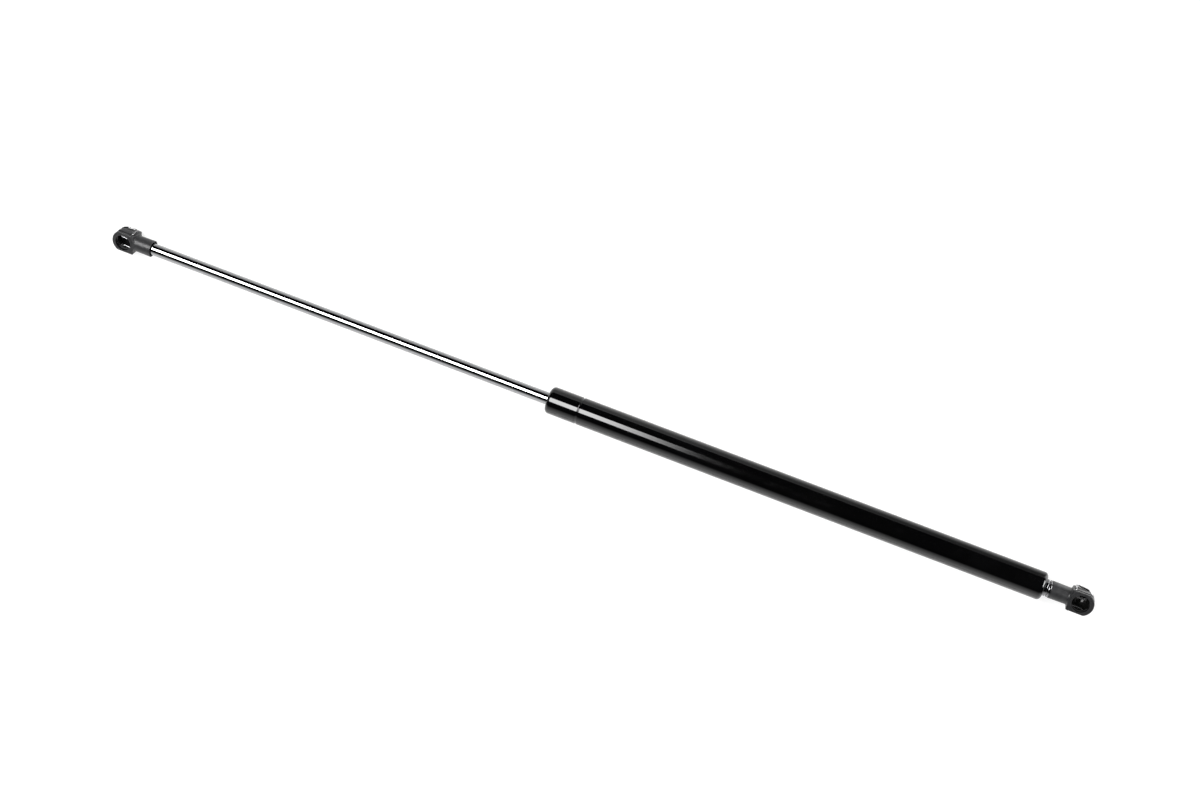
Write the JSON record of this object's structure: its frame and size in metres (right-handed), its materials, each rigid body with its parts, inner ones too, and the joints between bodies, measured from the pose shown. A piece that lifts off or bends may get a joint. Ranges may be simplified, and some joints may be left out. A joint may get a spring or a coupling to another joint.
{
  "type": "gas strut stay",
  "caption": "Gas strut stay: a chromed rod sliding in a black pressure tube, with a clipped plastic ball socket at each end.",
  "frame": {"origin": "ball centre of the tube's socket", "axes": "+X along the strut, towards the rod's socket; +Z out of the mouth of the tube's socket"},
  "size_m": [0.6774, 0.018, 0.018],
  "materials": {
    "black_paint": "gloss black paint",
    "hard_chrome": "ground and hard-chromed",
    "zinc_steel": "turned, bright zinc",
    "bare_steel": "plain steel",
    "spring_wire": "drawn spring wire",
    "socket_nylon": "glass-filled nylon, fine moulded grain",
    "seal_rubber": "smooth nitrile rubber",
    "buffer_rubber": "hard rubber",
    "guide_plastic": "natural acetal",
    "bush_bronze": "sintered bronze",
    "piston_alloy": "die cast"
  },
  "bodies": {
    "tube_assembly": {"pressure_tube": "black_paint", "end_plug": "bare_steel", "end_plug_seal": "seal_rubber", "threaded_stud": "zinc_steel", "front_cap": "bare_steel", "rod_guide": "guide_plastic", "guide_bush": "bush_bronze", "rod_seal": "seal_rubber", "seal_support_ring": "bare_steel", "tube_ball_socket": "socket_nylon"},
    "ring_carrier": {"piston_ring": "guide_plastic"},
    "rod_assembly": {"piston_rod": "hard_chrome", "piston": "piston_alloy", "piston_front_washer": "bare_steel", "valve_disc": "bare_steel", "piston_back_washer": "bare_steel", "rebound_buffer": "buffer_rubber", "rod_ball_socket": "socket_nylon"},
    "tube_clip": {"tube_socket_clip": "spring_wire"},
    "rod_clip": {"rod_socket_clip": "spring_wire"}
  },
  "joints": [
    {"name": "rod_slide", "type": "slide", "parent": "tube_assembly", "child": "ring_carrier", "axis": [1, 0, 0], "range_m": [-0.27, 0], "stiffness_N_per_m": 40},
    {"name": "rod_turn", "type": "hinge", "parent": "ring_carrier", "child": "rod_assembly", "pos_m": [0.33, 0, 0], "axis": [1, 0, 0], "continuous": true},
    {"name": "tube_clip_release", "type": "slide", "parent": "tube_assembly", "child": "tube_clip", "axis": [-1, 0, 0], "range_m": [0, 0.0022], "stiffness_N_per_m": 1500},
    {"name": "rod_clip_release", "type": "slide", "parent": "rod_assembly", "child": "rod_clip", "axis": [1, 0, 0], "range_m": [0, 0.0022], "stiffness_N_per_m": 1500}
  ]
}
